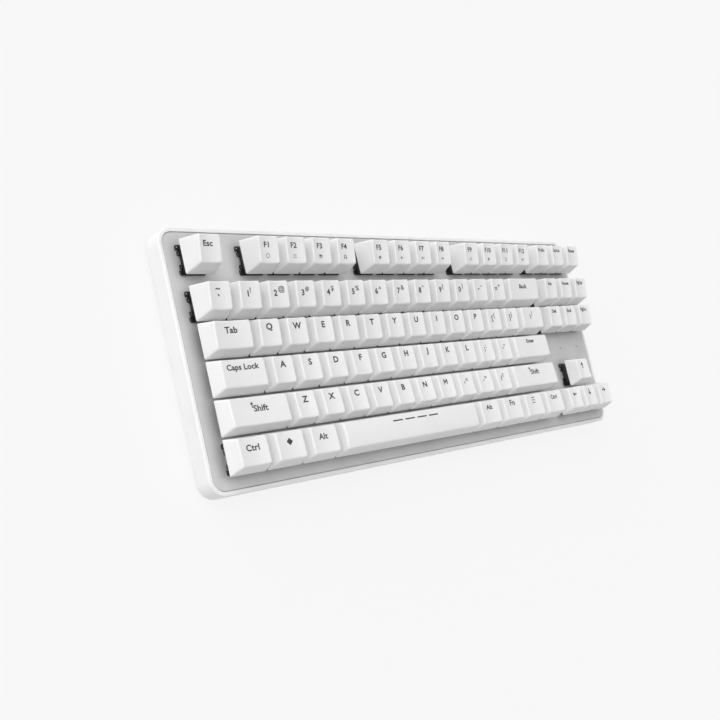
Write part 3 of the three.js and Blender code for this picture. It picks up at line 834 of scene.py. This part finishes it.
def housing(solid, x, y):
    """One switch housing: lower half through the plate, flange, tapered upper half and stem well."""
    foot = PLATE_TOP + 0.02
    # The flange is a ring that ends inside the housing's wall, so that the well stays open.
    solid.loft([
        notched(x, y, 0, foot),
        notched(x, y, 0, foot + FLANGE_THICK - FLANGE_EDGE),
        notched(x, y, FLANGE_EDGE, foot + FLANGE_THICK),
        notched(x, y, 0, foot + FLANGE_THICK, FLANGE_BORE),
        notched(x, y, 0, foot, FLANGE_BORE),
    ], 0, True)
    solid.loft([
        box_ring(x, y, BODY - 0.5, BODY - 0.5, 0.4, BOARD_TOP + 0.3),
        box_ring(x, y, BODY, BODY, 0.5, BOARD_TOP + 1.2),
        box_ring(x, y, BODY, BODY, 0.5, foot - 0.3),
        box_ring(x, y, NOTCH_X, 7.0, 0.5, foot + 0.5),
        box_ring(x, y, NOTCH_X, 7.0, 0.5, foot + 0.9),
        box_ring(x, y, 5.95, 6.9, 0.6, foot + 1.9),
        box_ring(x, y, 5.6, 5.5, 0.6, HOUSING_TOP - 0.25),
        box_ring(x, y, 5.45, 5.25, 0.6, HOUSING_TOP),
        box_ring(x, y, *WELL, 0.3, HOUSING_TOP),
        box_ring(x, y, *WELL, 0.3, HOUSING_TOP - WELL_DEPTH),
    ])
    for side in (-1, 1):
        # The ledge in the notch, of clear plastic, and the two catches that stand on it as open frames.
        ledge = x + side * 6.5
        slab(solid, ledge, y, 0.62, 5.2, foot, foot + 0.55, 1)
        for shift in CATCH_PLACES:
            for wall in (-0.95, 0.95):
                slab(solid, ledge + 0.075, y + shift + wall, 0.775, 0.2, foot + 0.3, foot + 1.15)
            slab(solid, x + side * 7.2, y + shift, 0.2, 1.1, foot + 0.3, foot + 1.1)
    # A small pale slab behind each rear corner of the flange: a painted highlight, standing in for a
    # glint of the light from the back left.
    for side in (-1, 1):
        slab(solid, x + side * 7.0, y + 6.6, 0.3, 0.4, foot + 0.9, foot + 1.08, 1)
    # Lamp window at the front of the upper half.
    block(solid, x - 2.6, x + 2.6, y - 6.75, y - 5.2, foot + 0.9, foot + 3.4, 0.3, 0.15, 1, 2)


for row, places in housing_rows.items():
    solid = Solid()
    for x, y in places:
        housing(solid, x, y)
    make("switches_" + row, solid, [HOUSING, CLEAR_PLASTIC], "base", ["switch_bank"], 25)

for body, places in stem_places.items():
    solid = Solid()
    for x, y in places:
        a, b = STEM_HALF
        block(solid, x - a, x + a, y - b, y + b, STEM_LOW, STEM_SHOULDER, 0.3, 0.2, 0, 2)
        for a, b in CROSS:
            block(solid, x - a, x + a, y - b, y + b, STEM_SHOULDER - 0.2, STEM_TOP, 0.1, 0.1, 0, 1)
    make("stems_" + body.split("_", 1)[1], solid, [STEM], body)

# ---- Plate --------------------------------------------------------------------------------------------


def perforated(solid, outer, holes, low, high, chamfer):
    """A flat sheet with holes and chamfered edges; outer and holes give their outline at an inset."""
    levels = [(chamfer, low), (0, low + chamfer), (0, high - chamfer), (chamfer, high)]
    loops = [outer] + holes
    for which, z in ((0, low), (3, high)):
        flat, edges = [], []
        for shape in loops:
            ring = shape(levels[which][0])
            start = len(flat)
            flat += ring
            edges += [(start + i, start + (i + 1) % len(ring)) for i in range(len(ring))]
        made = geometry.delaunay_2d_cdt([Vector(p) for p in flat], edges, [], 1, 1e-6)
        boxes = [bounds_of(shape(levels[which][0])) for shape in holes]
        faces = []
        for face in made[2]:
            cx = sum(made[0][i].x for i in face) / len(face)
            cy = sum(made[0][i].y for i in face) / len(face)
            if not any(a < cx < b and c < cy < d for a, b, c, d in boxes):
                faces.append(list(face))
        solid.add([(p.x, p.y, z) for p in made[0]], faces)
    for shape in loops:
        rings = [at(shape(inset), z) for inset, z in levels]
        solid.add([p for r in rings for p in r], skin(rings))


def rim_outline(inset, steps=10):
    x, y = CASE_WIDTH / 2 - inset, CASE_DEPTH / 2 - inset
    return outline(-x, x, -y, y, max(CASE_CORNER - inset, 0.3), steps)


def plate_outline(inset):
    return rim_outline(RIM + CLEAR + inset)


def cutout(x, y):
    """Outline of one switch's hole, as a function of how far its chamfer opens it."""
    def shape(inset):
        reach = CUTOUT + inset
        return outline(x - reach, x + reach, y - reach, y + reach, CUTOUT_CORNER, 2)

    return shape


PLATE_EDGE = 0.15
CUTOUT_CORNER = 0.4
INDICATOR_X = (123.8, 145.8, 167.8)
INDICATOR_Y = -11.9
INDICATOR = [(0.9, -0.5), (0.9, 0.06), (0.75, 0.16), (0.4, 0.2)]  # radius, height above the plate

solid = Solid()
cutouts = [cutout(x, y) for places in housing_rows.values() for x, y in places]
perforated(solid, plate_outline, cutouts, PLATE_LOW, PLATE_TOP, PLATE_EDGE)
make("plate", solid, [PLATE], "base", ["switch_plate"])

solid = Solid()
for x in INDICATOR_X:
    lathe(solid, x, INDICATOR_Y, [(radius, PLATE_TOP + rise) for radius, rise in INDICATOR], 16)
make("indicator_windows", solid, [CLEAR_PLASTIC], "base")

# ---- Case ---------------------------------------------------------------------------------------------


FOOT_FILLET = (1.95, 3.2)  # rounding of the case's lower edge: inwards, upwards
RIM_FILLET = 0.75
INNER_FILLET = 0.25


def rounded_corner(start, corner, end, steps=4):
    """Profile points that round a corner between two points on its sides."""
    return [curve(start, corner, end, k / steps) for k in range(steps + 1)]


def case_profile():
    """Closed outline of the case wall's section, as (inset from the outer wall, height)."""
    inwards, upwards = FOOT_FILLET
    rim_start, rim_end = (0, CASE_HIGH - RIM_FILLET), (RIM_FILLET, CASE_HIGH)
    inner_start, inner_end = (RIM - INNER_FILLET, CASE_HIGH), (RIM, CASE_HIGH - INNER_FILLET)
    shelf = RIM + LEDGE_WIDTH
    return [
        *rounded_corner((inwards, CASE_LOW), (0, CASE_LOW), (0, CASE_LOW + upwards), 7),
        (0, CASE_LOW + upwards + 0.3),
        (0, CASE_HIGH - RIM_FILLET - 0.25),
        *rounded_corner(rim_start, (0, CASE_HIGH), rim_end),
        (RIM_FILLET + 0.15, CASE_HIGH),
        (RIM - INNER_FILLET - 0.15, CASE_HIGH),
        *rounded_corner(inner_start, (RIM, CASE_HIGH), inner_end, 3),
        (RIM, LEDGE_TOP),
        (shelf, LEDGE_TOP),
        (shelf, LEDGE_LOW),
        (RIM, LEDGE_LOW),
        (RIM, CASE_LOW),
        (inwards + 0.15, CASE_LOW),
    ]


SOCKET_X, SOCKET_Z = -100.0, 6.5
MOUTH = (6.5, 3.3)  # half the size of the opening in the back wall
MOUTH_CORNER = 2.2
SHELL = (4.47, 1.6)  # half the size of the socket's steel shell
SHELL_THICK = 0.32
SHELL_LENGTH = 7.3
TONGUE = (3.3, 0.35)
CONTACTS = 12
CONTACT_PITCH = 0.5
BACK = CASE_DEPTH / 2


def cut(piece, solid):
    """Takes a Solid out of a piece."""
    tool = bpy.data.objects.new("cutter", solid.mesh("cutter"))
    bpy.context.scene.collection.objects.link(tool)
    step = piece.modifiers.new("cut", "BOOLEAN")
    step.operation = "DIFFERENCE"
    step.solver = "EXACT"
    step.object = tool
    depsgraph = bpy.context.evaluated_depsgraph_get()
    old = piece.data
    piece.data = bpy.data.meshes.new_from_object(piece.evaluated_get(depsgraph))
    piece.modifiers.clear()
    bpy.data.objects.remove(tool)
    bpy.data.meshes.remove(old)
    piece.data.set_sharp_from_angle(angle=math.radians(SHARP))


def upright(points, y):
    """Outline in x and z, at a depth."""
    return [(x, y, z) for x, z in points]


def around_socket(half_x, half_z, radius, steps):
    """Rounded rectangle in x and z round the socket's axis."""
    left, right = SOCKET_X - half_x, SOCKET_X + half_x
    return outline(left, right, SOCKET_Z - half_z, SOCKET_Z + half_z, radius, steps)


solid = Solid()
solid.loft([at(rim_outline(inset, 12), z) for inset, z in case_profile()], 0, True)
case = make("case", solid, [CASE], "base", ["case_frame"], 30)
inlet = Solid()
mouth = around_socket(*MOUTH, MOUTH_CORNER, 6)[::-1]
inlet.loft([upright(mouth, BACK - 8), upright(mouth, BACK + 1)])
cut(case, inlet)

# ---- Cable socket -------------------------------------------------------------------------------------

face = BACK - 0.8


def shell_ring(grow, y):
    half_x, half_z = SHELL[0] + grow, SHELL[1] + grow
    return upright(around_socket(half_x, half_z, half_z - 0.02, 8), y)


solid = Solid()
solid.loft([
    shell_ring(0, face - SHELL_LENGTH), shell_ring(0, face - 0.1), shell_ring(-0.08, face),
    shell_ring(0.08 - SHELL_THICK, face), shell_ring(-SHELL_THICK, face - 0.1),
    shell_ring(-SHELL_THICK, face - SHELL_LENGTH + 1),
])
make("socket_shell", solid, [STEEL], "base", ["usb_socket"])

solid = Solid()
half_x, half_z = TONGUE
left, right = SOCKET_X - half_x, SOCKET_X + half_x
block(solid, left, right, face - 6.6, face - 1, SOCKET_Z - half_z, SOCKET_Z + half_z, 0.3, 0.08)
for i in range(CONTACTS):
    x = SOCKET_X + (i - (CONTACTS - 1) / 2) * CONTACT_PITCH
    for low, high in ((0.3, 0.4), (-0.4, -0.3)):
        ends = (face - 4.5, face - 1.25, SOCKET_Z + low, SOCKET_Z + high)
        block(solid, x - 0.13, x + 0.13, *ends, 0.03, 0.02, 1, 1)
make("socket_tongue", solid, [HOUSING, STEEL], "base")

# ---- Space bar wire -----------------------------------------------------------------------------------

WIRE_RADIUS = 0.8
WIRE_BEND = 1.8
WIRE_Z = PLATE_TOP + 1.0
WIRE_X = FIELD_LEFT + (SPACE_LEFT + SPACE_UNITS / 2) * U
WIRE_Y = FIELD_FRONT + U - 0.625
TIP = (FIELD_FRONT + U / 2, SKIRT_LOW - 0.95)


def tube(solid, path, radius, sides):
    """A round bar along a path that stays in one bend plane at a time."""
    rings = []
    guide = Vector((0, 0.6, 0.8))
    for i, p in enumerate(path):
        before = Vector(path[max(i - 1, 0)])
        after = Vector(path[min(i + 1, len(path) - 1)])
        along = (after - before).normalized()
        first = along.cross(guide)
        if first.length < 0.3:
            first = along.cross(Vector((1, 0, 0)))
        first.normalize()
        second = along.cross(first).normalized()
        guide = first.cross(along)
        round_section = circle(0, 0, radius, sides)
        rings.append([tuple(Vector(p) + a * first + b * second) for a, b in round_section])
    solid.loft(rings)


def bend(a, corner, b, radius):
    """Points that round the corner of a path."""
    a, corner, b = Vector(a), Vector(corner), Vector(b)
    start = corner + (a - corner).normalized() * radius
    end = corner + (b - corner).normalized() * radius
    return rounded_corner(start, corner, end, 6)


solid = Solid()
left, right = WIRE_X - SPACE_STABILISER, WIRE_X + SPACE_STABILISER
tips = [(left, *TIP), (right, *TIP)]
elbows = [(left, WIRE_Y, WIRE_Z), (right, WIRE_Y, WIRE_Z)]
middle = [(left + (right - left) * k / 10, WIRE_Y, WIRE_Z) for k in range(1, 10)]
path = [tips[0], mix(tips[0], elbows[0], 0.4)]
path += bend(tips[0], elbows[0], elbows[1], WIRE_BEND)
path += middle
path += bend(elbows[0], elbows[1], tips[1], WIRE_BEND)
path += [mix(tips[1], elbows[1], 0.4), tips[1]]
tube(solid, path, WIRE_RADIUS, 12)
make("stabiliser_wire", solid, [STEEL], "space_bar_wire", ["space_bar_wire"])

# ---- Underside ----------------------------------------------------------------------------------------

FOOT_X, FOOT_Y, FOOT_Z = 132.0, 52.0, 2.9
FOOT_LENGTH, FOOT_HALF, FOOT_RADIUS = 20.0, 17.0, 1.4
AXLE_RADIUS = 0.95
AXLE_REACH = 1.2  # how far the axle stands out of the foot's side
PAD_LENGTH, PAD_DEPTH, PAD_CORNER = 13, 4, 2.2  # the first two from the middle
PAD_PROFILE = [(0.9, 0.0), (0.5, 0.12), (0.15, 0.5), (0, 0.9), (0, 1.5)]  # inset, height
PADS = {
    "front_left": (-150, -56),
    "front_right": (150, -56),
    "rear_left": (-150, 60),
    "rear_right": (150, 60),
}
SCREW_X = (-110, 0, 110)
SCREW_Y = (-45, 20)
SCREW = [(1.2, 5.0), (1.2, 2.35), (2.4, 2.35), (2.4, 1.75), (2.0, 1.5), (1.15, 1.45)]  # radius, z
SCREW_SIDES = 18
KEY_RADIUS = 0.95  # hexagonal socket in the screw's head
KEY_DEPTH = (1.5, 2.15)


def foot_section():
    """Section of a folded foot along its length, round its axle, as (y, z) from the axle."""
    r, tip = FOOT_RADIUS, -FOOT_LENGTH
    turns = [math.radians(-90 + 180 * k / 8) for k in range(9)]
    return [(r * math.cos(t), r * math.sin(t)) for t in turns] + [
        (tip + 0.6, r), (tip, r - 0.6), (tip, 0.1), (tip + 0.4, -0.7), (tip + 1.3, -r),
    ]


def rib(x, shrink):
    """The foot's section at x, drawn in a little towards its middle."""
    middle = -FOOT_LENGTH / 2
    return [(x, FOOT_Y + a + (middle - a) * shrink, FOOT_Z + b * (1 - shrink * 4))
            for a, b in foot_section()]


for side, sign in (("left", -1), ("right", 1)):
    x = sign * FOOT_X
    solid = Solid()
    left, right = x - FOOT_HALF, x + FOOT_HALF
    solid.loft([rib(left, 0.04), rib(left + 0.35, 0), rib(right - 0.35, 0), rib(right, 0.04)])
    for end in (-1, 1):
        pin = circle(0, 0, 1, 16)
        rings = []
        for reach, radius in (
            (FOOT_HALF - 0.5, AXLE_RADIUS),
            (FOOT_HALF + AXLE_REACH - 0.2, AXLE_RADIUS),
            (FOOT_HALF + AXLE_REACH, AXLE_RADIUS - 0.2),
        ):
            px = x + end * reach
            rings.append([(px, FOOT_Y + radius * a, FOOT_Z + radius * b) for a, b in pin])
        solid.loft(rings)
    make("foot_" + side, solid, [CASE], "flip_foot_" + side, ["flip_foot_" + side])

for name, (x, y) in PADS.items():
    solid = Solid()
    rings = []
    for inset, z in PAD_PROFILE:
        a, b = PAD_LENGTH - inset, PAD_DEPTH - inset
        rings.append(at(outline(x - a, x + a, y - b, y + b, PAD_CORNER - inset, 6), z))
    solid.loft(rings)
    make("pad_" + name, solid, [RUBBER], "base", ["pad_" + name])

solid = Solid()
for x in SCREW_X:
    for y in SCREW_Y:
        hexagon = circle(x, y, KEY_RADIUS, 6)
        per_side = SCREW_SIDES // 6
        socket = []
        for k in range(SCREW_SIDES):
            side = k // per_side
            socket.append(mix(hexagon[side], hexagon[(side + 1) % 6], k % per_side / per_side))
        rings = [at(circle(x, y, radius, SCREW_SIDES), z) for radius, z in SCREW]
        rings += [at(socket, z) for z in KEY_DEPTH]
        solid.loft([r[::-1] for r in rings])
make("cover_screws", solid, [STEEL], "base")

for node, material in (("bottom_cover", CASE), ("circuit_board", BOARD)):
    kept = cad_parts[node]
    kept.data.materials.clear()
    kept.data.materials.append(material)

low, high = cad_box
